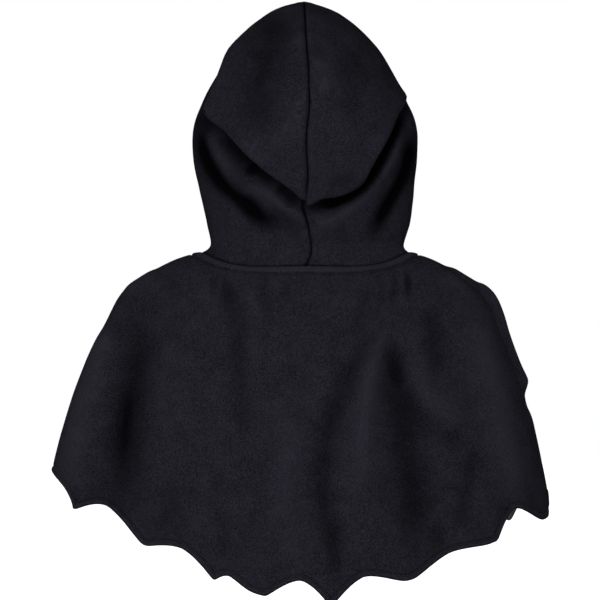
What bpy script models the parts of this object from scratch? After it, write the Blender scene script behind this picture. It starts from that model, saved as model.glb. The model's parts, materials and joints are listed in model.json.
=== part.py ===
"""Child's hooded costume cape in brushed fleece, built up the way it is sewn.

Units are metres and +Z is up. The wearer faces -Y, so the back of the cape looks toward +Y and
+X is the wearer's left. The origin is the middle of the neck opening, level with the back neck
seam. Around the neck an angle of 0 is the middle of the back, +90 degrees is the wearer's left
shoulder, -90 the right one, and 180 is the middle of the front.
"""
import math

import bmesh
import bpy
import numpy as np

# --- cloth layers, counted inward from the face of the fleece -----------------------------------
SHELL_THICKNESS = 0.0014
LOFT = 0.0012
LINING_THICKNESS = 0.0008
STAY_TAPE_THICKNESS = 0.0005
PATCH_THICKNESS = 0.0012
CLEARANCE = 0.0005
SEAM_GAP = 0.0006

# --- neck opening, an oval that drops toward the front and rises over the shoulders --------------
NECK_HALF_WIDTH = 0.115
NECK_HALF_DEPTH = 0.051
NECK_CENTRE_Y = -0.001
NECK_FRONT_DROP = 0.040
NECK_SHOULDER_RISE = 0.033

# --- cape body -----------------------------------------------------------------------------------
SHOULDER_LENGTH = 0.113
SHOULDER_HALF_WIDTH = NECK_HALF_WIDTH + SHOULDER_LENGTH
SHOULDER_HALF_DEPTH = 0.088
SHOULDER_BACK_DROP = 0.035
SHOULDER_FRONT_DROP = 0.080
HEM_HALF_WIDTH = 0.280
HEM_HALF_DEPTH = 0.151
BACK_LENGTH = 0.369
HEM_LEAN = 0.015
SCALLOP_POWER = 1.6
TIP_ROUND = 0.003
SHOULDER_POINT = 0.0062
SHOULDER_POINT_AT = 0.40
SHOULDER_POINT_REACH = 0.11
SIDE_SLOPE = (0.79, 0.61)

# Points of the scalloped hem: angle in degrees, depth as a share of the back length, and for the
# arch from there to the next point its rise in metres and where its top is.
HEM_TIPS = (
    (-163.0, 0.935, 0.016, 0.50),
    (-143.0, 0.870, 0.016, 0.50),
    (-122.0, 0.781, 0.016, 0.50),
    (-100.0, 0.722, 0.012, 0.50),
    (-80.0, 0.757, 0.018, 0.70),
    (-49.7, 0.820, 0.009, 0.60),
    (-25.1, 0.925, 0.016, 0.60),
    (-5.6, 1.000, 0.017, 0.44),
    (9.3, 0.9712, 0.008, 0.70),
    (20.8, 0.9256, 0.0125, 0.44),
    (38.8, 0.8284, 0.016, 0.51),
    (65.0, 0.728, 0.009, 0.28),
    (90.0, 0.6217, 0.006, 0.50),
    (112.0, 0.690, 0.012, 0.50),
    (134.0, 0.781, 0.016, 0.50),
    (152.0, 0.880, 0.016, 0.50),
    (163.0, 0.935, 0.016, 0.50),
)

LEFT_SEAM = 91.0
RIGHT_SEAM = -83.0
SEAM_ALLOWANCE = 4.0
FRONT_NECK_ANGLE = 195.0
FRONT_HEM_ANGLE = 163.0
FRONT_SLANT_FROM = 0.10
FRONT_SLANT_TO = 0.60
UNDERLAP_FROM = 145.0
UNDERLAP_TO = 162.0
PATCH_HALF_ANGLE = 5.0

# Shares of the way from the neck to the hem at which the cloth is cut into rows.
ROWS = (0.0, 0.05, 0.11, 0.17, 0.25, 0.35, 0.47, 0.60, 0.73, 0.85, 0.94, 1.0)
COLUMNS_PER_SCALLOP = 4
LINING_HEM_SHARE = 0.985
STAY_TAPE_ROWS = slice(1, 6)
PATCH_ROWS = slice(1, 4)
SWING_SHARE = 0.7
SWING_STANDOFF = 0.001

# --- hood ----------------------------------------------------------------------------------------
HOOD_HEIGHT = 0.292
HOOD_FULLNESS = 0.009
HOOD_HALF_WIDTH = NECK_HALF_WIDTH + HOOD_FULLNESS
HOOD_BACK_REACH = 0.112
HOOD_FRONT_REACH = 0.102
HOOD_GAP = 0.016 * NECK_HALF_WIDTH
FRONT_HALF_OPENING = 0.005

# Hood hoops above the neck: level, then seam reach and height, face reach and height, half width
# and half opening as shares of the sizes above, and how sharply the hoop folds at the seam.
HOOD_HOOPS = (
    (0.1, 0.455, 0.096, 0.647, -0.017, 0.831, 0.306, 1.00),
    (0.2, 0.491, 0.188, 0.804, 0.137, 0.863, 0.581, 1.00),
    (0.3, 0.589, 0.274, 0.922, 0.291, 0.935, 0.742, 1.00),
    (0.4, 0.804, 0.336, 0.980, 0.428, 1.000, 0.806, 1.00),
    (0.5, 0.946, 0.445, 1.000, 0.548, 0.984, 0.790, 1.05),
    (0.6, 1.000, 0.582, 1.000, 0.651, 0.911, 0.726, 1.10),
    (0.7, 0.929, 0.726, 0.980, 0.736, 0.782, 0.629, 1.20),
    (0.8, 0.696, 0.856, 0.951, 0.812, 0.645, 0.484, 1.35),
    (0.9, 0.268, 0.966, 0.902, 0.877, 0.427, 0.274, 1.50),
    (1.0, -0.179, 1.000, 0.833, 0.918, 0.012, 0.010, 1.50),
)
HOOD_LEVELS = 13
HOOD_TURNS = 13

# --- trims inside the neck -----------------------------------------------------------------------
NECK_TAPE_ANGLE = 72.0
NECK_TAPE_THICKNESS = 0.0008
NECK_TAPE_TOP = 0.0015
NECK_TAPE_WIDTH = 0.012
NECK_TAPE_SIDES = 24
LOOP_LENGTH = 0.060
LOOP_DROOP = 0.010
LOOP_WIDTH = 0.006
LOOP_THICKNESS = 0.0008
LOOP_BOW = 0.0015
LOOP_STEPS = 14
LABEL_ANGLE = -30.0
LABEL_WIDTH = 0.024
LABEL_DROP = 0.030
LABEL_THICKNESS = 0.0004
LABEL_TOP = -0.002
LABEL_BOW = 0.0010

# --- finishes: linear colour, roughness ----------------------------------------------------------
FLEECE = ((0.0120, 0.0117, 0.0160), 0.95)
LINING = ((0.0100, 0.0100, 0.0125), 0.55)
TAPE = ((0.0140, 0.0140, 0.0165), 0.70)
LABEL = ((0.620, 0.610, 0.590), 0.60)
HOOK = ((0.0170, 0.0170, 0.0190), 0.50)
PILE = ((0.0140, 0.0140, 0.0160), 0.90)


def through(keys, rows, at):
    """Read a smooth curve, given as one row of values for each key, at one place."""
    keys = np.asarray(keys, dtype=float)
    rows = np.asarray(rows, dtype=float)
    slopes = np.gradient(rows, keys, axis=0)
    i = int(np.clip(np.searchsorted(keys, at) - 1, 0, len(keys) - 2))
    span = keys[i + 1] - keys[i]
    t = (at - keys[i]) / span
    rest = 1.0 - t
    start = rows[i] * (1.0 + 2.0 * t) * rest * rest + slopes[i] * span * t * rest * rest
    end = rows[i + 1] * (3.0 - 2.0 * t) * t * t - slopes[i + 1] * span * t * t * rest
    return start + end


def smooth(low, high, at):
    """Rise from 0 at low to 1 at high without corners."""
    t = min(max((at - low) / (high - low), 0.0), 1.0)
    return t * t * (3.0 - 2.0 * t)


def neck_edge(angle):
    """Return the point of the neck seam at an angle in degrees."""
    turn = math.radians(angle)
    front = (1.0 - math.cos(turn)) / 2.0
    x = NECK_HALF_WIDTH * math.sin(turn)
    y = NECK_CENTRE_Y + NECK_HALF_DEPTH * math.cos(turn)
    z = NECK_SHOULDER_RISE * math.sin(turn) ** 4 - NECK_FRONT_DROP * front
    return np.array((x, y, z))


def hem_side(turn):
    """Return how far the hem is to the side; the wearer's right is a little closer in."""
    return HEM_HALF_WIDTH * math.sin(turn) * (1.0 - HEM_LEAN * (1.0 - math.sin(turn)))


def hem_edge(angle):
    """Return the point of the smooth line through the hem's tips."""
    turn = math.radians(angle)
    depth = through([tip[0] for tip in HEM_TIPS], [tip[1] for tip in HEM_TIPS], angle)
    x = hem_side(turn)
    y = NECK_CENTRE_Y + HEM_HALF_DEPTH * math.cos(turn)
    return np.array((x, y, -BACK_LENGTH * depth))


def cape_surface(angle, share):
    """Return the point of the cape's face at a share of the way from the neck to the hem."""
    turn = math.radians(angle)
    forward = math.cos(turn)
    drop = SHOULDER_BACK_DROP if forward > 0.0 else SHOULDER_FRONT_DROP
    x = SHOULDER_HALF_WIDTH * math.sin(turn)
    y = NECK_CENTRE_Y + SHOULDER_HALF_DEPTH * forward
    shoulder = np.array((x, y, -drop * forward * forward))
    rest = 1.0 - share
    bend = 2.0 * share * rest
    hem_angle = min(max(angle, HEM_TIPS[0][0]), HEM_TIPS[-1][0])
    hem = hem_edge(angle) if hem_angle == angle else hem_edge_beyond(angle, hem_angle)
    curve = rest * rest * neck_edge(angle) + bend * shoulder + share * share * hem
    return curve + shoulder_point(turn, share)


def shoulder_point(turn, share):
    """Return how the cloth stands out where it falls over the point of the shoulder."""
    near = math.exp(-((share - SHOULDER_POINT_AT) / SHOULDER_POINT_REACH) ** 2)
    point = SHOULDER_POINT * near * math.sin(turn) ** 8
    across, up = SIDE_SLOPE
    return np.array((math.copysign(across, math.sin(turn)) * point, 0.0, up * point))


def hem_edge_beyond(angle, last_angle):
    """Carry the hem past the front edge at the depth that it has there."""
    turn = math.radians(angle)
    x = hem_side(turn)
    y = NECK_CENTRE_Y + HEM_HALF_DEPTH * math.cos(turn)
    return np.array((x, y, hem_edge(last_angle)[2]))


def hem_share(angle):
    """Return how far down its column the cloth reaches, between tips and arches."""
    ends = [tip[0] for tip in HEM_TIPS]
    i = int(np.clip(np.searchsorted(ends, angle) - 1, 0, len(ends) - 2))
    _, _, rise, lean = HEM_TIPS[i]
    t = min(max((angle - ends[i]) / (ends[i + 1] - ends[i]), 0.0), 1.0)
    t = t ** (math.log(0.5) / math.log(lean))
    arch = rise * (1.0 - abs(2.0 * t - 1.0) ** SCALLOP_POWER)
    length = np.linalg.norm(hem_edge(angle) - neck_edge(angle))
    return 1.0 - math.hypot(arch, TIP_ROUND) / length


def hem_columns(first, last, extra=()):
    """Return the angles of a panel's columns: its edges, the hem's tips and steps between."""
    inner = []
    for (low, *_), (high, *_) in zip(HEM_TIPS, HEM_TIPS[1:]):
        for step in range(COLUMNS_PER_SCALLOP):
            inner.append(low + (high - low) * step / COLUMNS_PER_SCALLOP)
    fixed = [first, last, *extra]
    margin = 2.0
    free = [a for a in inner if first < a < last and all(abs(a - f) > margin for f in fixed)]
    return sorted(free + fixed)


def back_point(angle, share):
    """Return a point of the back panel's face."""
    return cape_surface(angle, share * hem_share(angle))


def front_widening(share, seam):
    """Return how much wider than at the hem a front panel is, measured in angle."""
    side = math.copysign(1.0, seam)
    slant = smooth(FRONT_SLANT_FROM, FRONT_SLANT_TO, share)
    front_edge = FRONT_NECK_ANGLE + (FRONT_HEM_ANGLE - FRONT_NECK_ANGLE) * slant
    return (side * front_edge - seam) / (side * FRONT_HEM_ANGLE - seam)


def front_point(hem_angle, share, seam, under):
    """Return a point of a front panel's face, whose front edge slants from neck to hem."""
    angle = seam + (hem_angle - seam) * front_widening(share, seam)
    reach = share * hem_share(hem_angle)
    point = cape_surface(angle, reach)
    if under:
        _, outward = cloth(cape_surface, (angle,), (reach,))
        tuck = UNDERLAP_DEPTH * smooth(UNDERLAP_FROM, UNDERLAP_TO, abs(angle))
        point -= outward[0, 0] * tuck
    return point


def cloth(point, columns, rows, nudge=0.05):
    """Return a grid of face points and the outward direction at each.

    The outward direction is read off the smooth surface itself, a nudge to each side of the
    column and a small step up and down, so that panels that share a seam agree there.
    """
    step = 0.001
    points = np.array([[point(c, r) for c in columns] for r in rows])
    along = [[point(c + nudge, r) - point(c - nudge, r) for c in columns] for r in rows]
    down = [[point(c, r + step) - point(c, r - step) for c in columns] for r in rows]
    outward = np.cross(along, down)
    outward /= np.linalg.norm(outward, axis=2, keepdims=True)
    return points, outward


def back_cloth():
    """Return the back panel's grid, from the right seam to the left one."""
    first = RIGHT_SEAM + seam_turn()
    last = LEFT_SEAM - seam_turn()
    columns = hem_columns(first, last, (first + SEAM_ALLOWANCE, last - SEAM_ALLOWANCE))
    return cloth(back_point, columns, ROWS)


def patch_columns(seam):
    """Return the hem angles of the columns at the two sides of a fastening patch."""
    side = math.copysign(1.0, seam)
    widening = front_widening(sum(ROWS[PATCH_ROWS]) / len(ROWS[PATCH_ROWS]), seam)
    middle = side * 180.0
    ends = (middle - PATCH_HALF_ANGLE, middle + PATCH_HALF_ANGLE)
    return tuple(seam + (end - seam) / widening for end in ends)


def front_cloth(seam, under):
    """Return a front panel's grid, and the same grid cut down to its fastening patch."""
    side = math.copysign(1.0, seam)
    near = seam + side * seam_turn()
    far = side * FRONT_HEM_ANGLE
    patch = patch_columns(near)
    columns = hem_columns(min(near, far), max(near, far), patch)
    sheet = cloth(lambda angle, share: front_point(angle, share, near, under), columns, ROWS)
    across = slice(columns.index(patch[0]), columns.index(patch[1]) + 1)
    return sheet, part_of(sheet, PATCH_ROWS, across)


def seam_turn():
    """Return half the side seam's gap as an angle at the neck, in degrees."""
    return math.degrees(SEAM_GAP / 2.0 / NECK_HALF_DEPTH)


def hood_hoop(level):
    """Return the hoop at a level: seam y and z, face y and z, half width, half opening, fold."""
    neck = (0.0, NECK_CENTRE_Y + NECK_HALF_DEPTH, 0.0, NECK_CENTRE_Y - NECK_HALF_DEPTH,
            -NECK_FRONT_DROP, NECK_HALF_WIDTH, FRONT_HALF_OPENING, 1.0)
    sizes = (1.0, HOOD_BACK_REACH, HOOD_HEIGHT, -HOOD_FRONT_REACH, HOOD_HEIGHT,
             HOOD_HALF_WIDTH, HOOD_HALF_WIDTH, 1.0)
    hoops = [neck] + [[share * size for share, size in zip(hoop, sizes)] for hoop in HOOD_HOOPS]
    hoop = through([row[0] for row in hoops], hoops, level)
    return hoop[1:]


def hood_point(side, turn, level):
    """Return a point of the hood's face: turn runs from the face edge to the centre seam."""
    seam_y, seam_z, face_y, face_z, half_width, half_opening, fold = hood_hoop(level)
    half_width = max(half_width, SEAM_GAP / 2.0)
    ratio = min(max(half_opening / half_width, 0.02), 0.98)
    start = -math.acos(ratio ** (1.0 / fold))
    angle = start + (math.pi / 2.0 - start) * turn
    back = (math.sin(angle) - math.sin(start)) / (1.0 - math.sin(start))
    x = side * (half_width * max(math.cos(angle), 0.0) ** fold + SEAM_GAP / 2.0)
    y = face_y + (seam_y - face_y) * back
    z = face_z + (seam_z - face_z) * back
    rise = NECK_SHOULDER_RISE * math.cos(angle) ** 4 * max(0.0, 1.0 - 4.0 * level) ** 2
    return np.array((x, y, z + rise + HOOD_GAP))


def hood_cloth(side):
    """Return one half of the hood, with its columns in the order that faces them outward.

    Along the centre seam and the ridge the layers lie straight under each other.
    """
    def point(across, level):
        return hood_point(side, across if side > 0 else 1.0 - across, level)

    turns = np.linspace(0.0, 1.0, HOOD_TURNS)
    levels = np.linspace(0.0, 1.0, HOOD_LEVELS)
    points, outward = cloth(point, turns, levels, nudge=0.001)
    outward[-1, :, 0] = 0.0
    outward[:, -1 if side > 0 else 0, 0] = 0.0
    outward /= np.linalg.norm(outward, axis=2, keepdims=True)
    return points, outward


def part_of(sheet, rows=slice(None), columns=slice(None)):
    """Cut a block of rows and columns out of a sheet."""
    points, outward = sheet
    return points[rows, columns], outward[rows, columns]


def layer_mesh(name, sheet, outer, inner):
    """Close the space between two depths under a sheet into one solid mesh."""
    points, outward = sheet
    rows, columns = points.shape[:2]
    builder = bmesh.new()
    face, back = ([[builder.verts.new(point) for point in row] for row in points - outward * depth]
                  for depth in (outer, inner))
    for r in range(rows - 1):
        for c in range(columns - 1):
            corners = ((r, c), (r, c + 1), (r + 1, c + 1), (r + 1, c))
            for i, j, k in ((0, 1, 2), (0, 2, 3)):
                builder.faces.new([face[y][x] for y, x in (corners[i], corners[j], corners[k])])
                builder.faces.new([back[y][x] for y, x in (corners[k], corners[j], corners[i])])
    rim = [(0, c) for c in range(columns - 1)]
    rim += [(r, columns - 1) for r in range(rows - 1)]
    rim += [(rows - 1, c) for c in range(columns - 1, 0, -1)]
    rim += [(r, 0) for r in range(rows - 1, 0, -1)]
    for (y0, x0), (y1, x1) in zip(rim, rim[1:] + rim[:1]):
        builder.faces.new((face[y1][x1], face[y0][x0], back[y0][x0]))
        builder.faces.new((face[y1][x1], back[y0][x0], back[y1][x1]))
    mesh = bpy.data.meshes.new(name)
    builder.to_mesh(mesh)
    builder.free()
    mesh.shade_smooth()
    mesh.set_sharp_from_angle(angle=math.radians(40.0))
    return mesh


def finish_material(name, finish):
    """Make a plain surface with a linear colour and a roughness."""
    colour, roughness = finish
    material = bpy.data.materials.new(name)
    material.use_nodes = True
    shader = material.node_tree.nodes["Principled BSDF"]
    shader.inputs["Base Color"].default_value = (*colour, 1.0)
    shader.inputs["Roughness"].default_value = roughness
    shader.inputs["Metallic"].default_value = 0.0
    return material


def place(name, mesh, material, origin=(0.0, 0.0, 0.0)):
    """Put a mesh in the scene as a named object whose origin is the given point."""
    for vertex in mesh.vertices:
        vertex.co -= type(vertex.co)(origin)
    mesh.materials.append(material)
    part = bpy.data.objects.new(name, mesh)
    part.location = origin
    bpy.context.scene.collection.objects.link(part)
    return part


def layer(name, sheet, outer, inner, material, origin=(0.0, 0.0, 0.0)):
    """Make one sewn layer as an object."""
    return place(name, layer_mesh(name, sheet, outer, inner), material, origin)


def swing_origin(seam):
    """Return the point that a front panel swings about, just outside its side seam."""
    points, outward = cloth(cape_surface, (seam,), (SWING_SHARE,))
    return points[0, 0] + outward[0, 0] * SWING_STANDOFF


def lining_sheet(sheet):
    """Pull the last row of a sheet up a little, where the fleece turns in at the hem."""
    points, outward = sheet
    points = points.copy()
    points[-1] = points[-2] + (points[-1] - points[-2]) * lining_row_share()
    return points, outward


def lining_row_share():
    """Return how far the lining reaches into the last row."""
    return (LINING_HEM_SHARE - ROWS[-2]) / (ROWS[-1] - ROWS[-2])


def build_back(fleece, lining, tape):
    """Make the back panel, its lining and the stay tapes in the shoulder seams."""
    sheet = back_cloth()
    layer("back_panel", sheet, 0.0, SHELL_THICKNESS, fleece)
    layer("back_lining", lining_sheet(sheet), LINING_OUTER, LINING_INNER, lining)
    middle = SHELL_THICKNESS + LOFT / 2.0
    half = STAY_TAPE_THICKNESS / 2.0
    for side, columns in (("right", slice(0, 2)), ("left", slice(-2, None))):
        strip = part_of(sheet, STAY_TAPE_ROWS, columns)
        layer(f"shoulder_tape_{side}", strip, middle - half, middle + half, tape)


def build_fronts(fleece, lining, hook, pile):
    """Make the two fronts with their linings and the fastening patches at the neck."""
    left, loops = front_cloth(LEFT_SEAM, under=True)
    right, hooks = front_cloth(RIGHT_SEAM, under=False)
    for side, sheet, seam in (("left", left, LEFT_SEAM), ("right", right, RIGHT_SEAM)):
        origin = swing_origin(seam)
        layer(f"{side}_front_panel", sheet, 0.0, SHELL_THICKNESS, fleece, origin)
        inside = lining_sheet(sheet)
        layer(f"{side}_front_lining", inside, LINING_OUTER, LINING_INNER, lining, origin)
    top = -CLEARANCE - PATCH_THICKNESS
    layer("loop_patch", loops, top, -CLEARANCE, pile, swing_origin(LEFT_SEAM))
    top = LINING_INNER + CLEARANCE
    layer("hook_patch", hooks, top, top + PATCH_THICKNESS, hook, swing_origin(RIGHT_SEAM))


def build_hood(fleece, lining):
    """Make the two halves of the hood and their linings."""
    origin = neck_edge(0.0)
    for name, side in (("left", 1), ("right", -1)):
        sheet = hood_cloth(side)
        layer(f"hood_{name}_panel", sheet, 0.0, SHELL_THICKNESS, fleece, origin)
        layer(f"hood_{name}_lining", sheet, LINING_OUTER, LINING_INNER, lining, origin)


def below_neck(angle, drop):
    """Return the point a given drop below the neck seam."""
    return neck_edge(angle) - np.array((0.0, 0.0, drop))


def build_neck_trims(tape, label):
    """Make the tape over the neck seam, the hanger loop and the blank label beside it."""
    angles = np.linspace(-NECK_TAPE_ANGLE, NECK_TAPE_ANGLE, NECK_TAPE_SIDES + 1)
    sheet = cloth(below_neck, angles, (NECK_TAPE_TOP, NECK_TAPE_TOP + NECK_TAPE_WIDTH))
    outer = LINING_INNER + CLEARANCE
    inner = outer + NECK_TAPE_THICKNESS
    layer("neck_tape", sheet, outer, inner, tape)

    loop_y = neck_edge(0.0)[1] - inner - CLEARANCE - LOOP_ROOM

    def loop_point(across, drop):
        arch = 1.0 - across * across
        x = across * LOOP_LENGTH / 2.0
        return np.array((x, loop_y - LOOP_BOW * arch, -LOOP_DROOP * arch - drop))

    steps = np.linspace(-1.0, 1.0, LOOP_STEPS + 1)
    sheet = cloth(loop_point, steps, (0.0, LOOP_WIDTH), nudge=0.001)
    layer("hanger_loop", sheet, 0.0, LOOP_THICKNESS, tape, (0.0, loop_y, 0.0))

    sheet = label_cloth(inner + CLEARANCE)
    layer("neck_label", sheet, 0.0, LABEL_THICKNESS, label, sheet[0][0, 1])


def label_cloth(depth):
    """Return the label's grid: it hangs from the neck tape and bows a little inward."""
    along = neck_edge(LABEL_ANGLE + 1.0) - neck_edge(LABEL_ANGLE - 1.0)
    along[2] = 0.0
    along /= np.linalg.norm(along)
    inward = np.array((along[1], -along[0], 0.0))
    top = neck_edge(LABEL_ANGLE) + inward * (depth + LABEL_ROOM)

    def point(across, share):
        drop = np.array((0.0, 0.0, LABEL_TOP - LABEL_DROP * share))
        return top + along * LABEL_WIDTH * across + drop + inward * LABEL_BOW * share

    return cloth(point, (-0.5, 0.0, 0.5), (0.0, 0.35, 0.7, 1.0))


def sagitta(half_length):
    """Return how far the neck's curve falls away from a flat strip laid across its middle."""
    radius = NECK_HALF_WIDTH ** 2 / NECK_HALF_DEPTH
    return half_length ** 2 / (2.0 * radius)


LINING_OUTER = SHELL_THICKNESS + LOFT
LINING_INNER = LINING_OUTER + LINING_THICKNESS
UNDERLAP_DEPTH = LINING_INNER + 3.0 * CLEARANCE + 2.0 * PATCH_THICKNESS
LOOP_ROOM = sagitta(LOOP_LENGTH / 2.0)
LABEL_ROOM = sagitta(LABEL_WIDTH / 2.0) + 0.001


def main():
    """Clear the scene and build the cape."""
    for old in list(bpy.data.objects):
        bpy.data.objects.remove(old, do_unlink=True)
    fleece = finish_material("fleece", FLEECE)
    lining = finish_material("lining", LINING)
    tape = finish_material("tape", TAPE)
    label = finish_material("label", LABEL)
    hook = finish_material("hook", HOOK)
    pile = finish_material("pile", PILE)
    build_back(fleece, lining, tape)
    build_fronts(fleece, lining, hook, pile)
    build_hood(fleece, lining)
    build_neck_trims(tape, label)


if __name__ == "__main__":
    main()
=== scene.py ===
"""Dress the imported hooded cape: brushed fleece, lining, seams, turned edges and stitching.

Units are metres, +Z is up, and the wearer faces -Y. Around the neck an angle of 0 is the middle
of the back, +90 degrees is the wearer's left shoulder and 180 is the middle of the front.
"""
import json
import math
from collections import namedtuple

import bmesh
import bpy
import numpy as np
from bpy.props import FloatProperty, FloatVectorProperty, IntProperty, PointerProperty
from bpy.types import Operator, Panel, PropertyGroup
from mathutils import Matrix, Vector, kdtree, noise


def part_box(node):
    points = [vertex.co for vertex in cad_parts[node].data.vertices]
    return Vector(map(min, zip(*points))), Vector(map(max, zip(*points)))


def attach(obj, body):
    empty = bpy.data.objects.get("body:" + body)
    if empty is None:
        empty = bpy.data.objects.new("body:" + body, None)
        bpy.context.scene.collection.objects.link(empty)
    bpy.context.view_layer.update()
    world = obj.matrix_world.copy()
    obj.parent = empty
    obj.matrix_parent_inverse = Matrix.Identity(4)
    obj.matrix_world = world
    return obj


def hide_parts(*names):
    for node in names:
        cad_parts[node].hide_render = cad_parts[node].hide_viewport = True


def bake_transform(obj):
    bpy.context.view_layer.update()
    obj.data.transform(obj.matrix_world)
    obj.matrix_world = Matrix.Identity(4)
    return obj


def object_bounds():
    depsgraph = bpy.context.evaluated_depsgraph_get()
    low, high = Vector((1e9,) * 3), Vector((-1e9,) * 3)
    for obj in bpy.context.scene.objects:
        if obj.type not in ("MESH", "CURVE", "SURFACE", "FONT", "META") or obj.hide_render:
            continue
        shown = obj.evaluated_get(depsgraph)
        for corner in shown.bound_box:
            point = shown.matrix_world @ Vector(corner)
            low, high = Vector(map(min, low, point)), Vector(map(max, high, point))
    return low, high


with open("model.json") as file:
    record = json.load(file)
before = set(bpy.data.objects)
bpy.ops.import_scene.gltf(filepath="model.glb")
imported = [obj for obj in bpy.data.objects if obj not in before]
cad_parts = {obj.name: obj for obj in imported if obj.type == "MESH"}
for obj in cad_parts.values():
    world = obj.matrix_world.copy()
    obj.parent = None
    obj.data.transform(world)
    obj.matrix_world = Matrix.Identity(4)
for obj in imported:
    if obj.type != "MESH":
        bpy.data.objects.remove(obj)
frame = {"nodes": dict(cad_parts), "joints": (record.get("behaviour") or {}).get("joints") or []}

CAD_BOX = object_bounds()

bl_info = {
    "name": "Hooded costume cape",
    "version": (1, 0, 0),
    "blender": (4, 5, 0),
    "location": "View3D > Sidebar > Cape",
    "description": "Builds a child's hooded fleece cape, lined and topstitched",
    "category": "Add Mesh",
}

# --- places taken from the frame -----------------------------------------------------------------
JOINTS = {joint["name"]: joint for joint in frame["joints"]}
NECK_BACK_Y = JOINTS["hood_fold"]["pos_m"][1]
BACK_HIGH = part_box("back_panel")[1]
HOOD_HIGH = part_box("hood_left_panel")[1]

# --- the cut of the cape, as in the solids -------------------------------------------------------
NECK_HALF_WIDTH = 0.115
NECK_CENTRE_Y = -0.001
NECK_HALF_DEPTH = NECK_BACK_Y - NECK_CENTRE_Y
NECK_FRONT_DROP = 0.040
NECK_SHOULDER_RISE = 0.033
SHOULDER_HALF_WIDTH = 0.228
SHOULDER_HALF_DEPTH = 0.088
SHOULDER_BACK_DROP = 0.035
SHOULDER_FRONT_DROP = 0.080
LEFT_SEAM = 91.0
RIGHT_SEAM = -83.0
FRONT_NECK_ANGLE = 195.0
FRONT_HEM_ANGLE = 163.0
FRONT_SLANT_FROM = 0.10
FRONT_SLANT_TO = 0.60
UNDERLAP_DEPTH = 0.0073
UNDERLAP_FROM = 145.0
UNDERLAP_TO = 162.0
SCALLOP_POWER = 1.6
SIDE_SLOPE = (0.79, 0.61)

# How far the cloth turns in at a side seam, and over how many degrees it turns in and is darkened
# with painted shade.
SIDE_TURN_IN = 0.0016
SIDE_TURN_REACH = 0.6
SIDE_SHADE_REACH = 0.35

# Points of the scalloped hem: angle in degrees, depth as a share of the back length, and for the
# arch from there to the next point its rise in metres and where its top is.
HEM_TIPS = np.array((
    (-163.0, 0.935, 0.016, 0.50), (-143.0, 0.870, 0.016, 0.50), (-122.0, 0.781, 0.016, 0.50),
    (-100.0, 0.722, 0.012, 0.50), (-80.0, 0.757, 0.018, 0.70), (-49.7, 0.820, 0.009, 0.60),
    (-25.1, 0.925, 0.016, 0.60), (-5.6, 1.000, 0.017, 0.44), (9.3, 0.9712, 0.008, 0.70),
    (20.8, 0.9256, 0.0125, 0.44), (38.8, 0.8284, 0.016, 0.51), (65.0, 0.728, 0.009, 0.28),
    (90.0, 0.6217, 0.006, 0.50), (112.0, 0.690, 0.012, 0.50), (134.0, 0.781, 0.016, 0.50),
    (152.0, 0.880, 0.016, 0.50), (163.0, 0.935, 0.016, 0.50),
))
TIP_ROUND = 0.003
HEM_LEAN = 0.015
SHOULDER_POINT = 0.0062
SHOULDER_POINT_AT = 0.40
SHOULDER_POINT_REACH = 0.11

# Hood hoops: level, seam reach and height, face reach and height, half width, half opening, all in
# metres, and how sharply the hoop folds at the centre seam.
HOOD_HOOPS = np.array((
    (0.0, 0.050, 0.000, -0.052, -0.040, 0.115, 0.005, 1.00),
    (0.1, 0.052, 0.028, -0.066, -0.005, 0.104, 0.038, 1.00),
    (0.2, 0.060, 0.055, -0.082, 0.040, 0.108, 0.072, 1.00),
    (0.3, 0.073, 0.084, -0.094, 0.085, 0.117, 0.092, 1.00),
    (0.4, 0.089, 0.111, -0.100, 0.125, 0.124, 0.100, 1.00),
    (0.5, 0.101, 0.138, -0.102, 0.160, 0.124, 0.100, 1.05),
    (0.6, 0.107, 0.172, -0.102, 0.190, 0.113, 0.090, 1.10),
    (0.7, 0.100, 0.212, -0.100, 0.215, 0.097, 0.078, 1.20),
    (0.8, 0.077, 0.250, -0.097, 0.237, 0.079, 0.060, 1.25),
    (0.9, 0.030, 0.282, -0.092, 0.256, 0.053, 0.036, 1.25),
    (0.95, 0.006, 0.2895, -0.089, 0.2625, 0.038, 0.025, 1.25),
    (0.98, -0.010, 0.2915, -0.087, 0.2665, 0.022, 0.015, 1.25),
    (1.0, -0.020, 0.292, -0.085, 0.268, 0.0015, 0.0012, 1.25),
))

# Length of the hood up its centre seam and round one half, which set the spacing of its grid.
HOOD_RUN = 0.42
HOOD_GIRTH = 0.36

# Where the left (1) and right (-1) halves are wider than the hoops: level, share and reach in level.
HOOD_BULGE = {1: (1.0, 0.10, 0.14), -1: (0.19, 0.07, 0.13)}

# How far the centre seam wanders toward the wearer's left at each height.
SEAM_WANDER = np.array((
    (0.000, -0.0008), (0.008, -0.0050), (0.036, -0.0046), (0.052, -0.0016), (0.064, 0.0016),
    (0.074, -0.0006), (0.088, -0.0026), (0.138, -0.0015), (0.176, -0.0050), (0.206, -0.0040),
    (0.250, -0.0010), (0.292, 0.0010),
))

# How far from its side seam a front has given way to its own swing, and in which direction.
FRONT_GIVE = 0.111
FRONT_GIVE_WAY = np.array((0.0, -0.958, -0.288))

# How strongly folds lean to the back, how often they are evened out, and the fold depth that is
# painted in full shade on the cape and on the hood.
TOWARD_BACK = 0.8
HOOD_TOWARD_BACK = 4.0
FOLD_ROUNDS = 2
CAPE_SHADE = 0.0140
HOOD_SHADE = 0.0100

# A fold lies on a line seen from behind. height is how far the cloth stands out along it, width how
# far that reaches on each side, tuck how deep it is drawn in below a lip, and hang how far a lip
# droops. Points run from the wearer's left to the right, or from top to bottom.
# Each fold also paints shade into the fleece's colour along its valleys and in the tuck under a lip,
# and painted highlight along its ridges.
Fold = namedtuple("Fold", "path height width tuck hang fade", defaults=(0.0, 0.0, 0.25))

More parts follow.
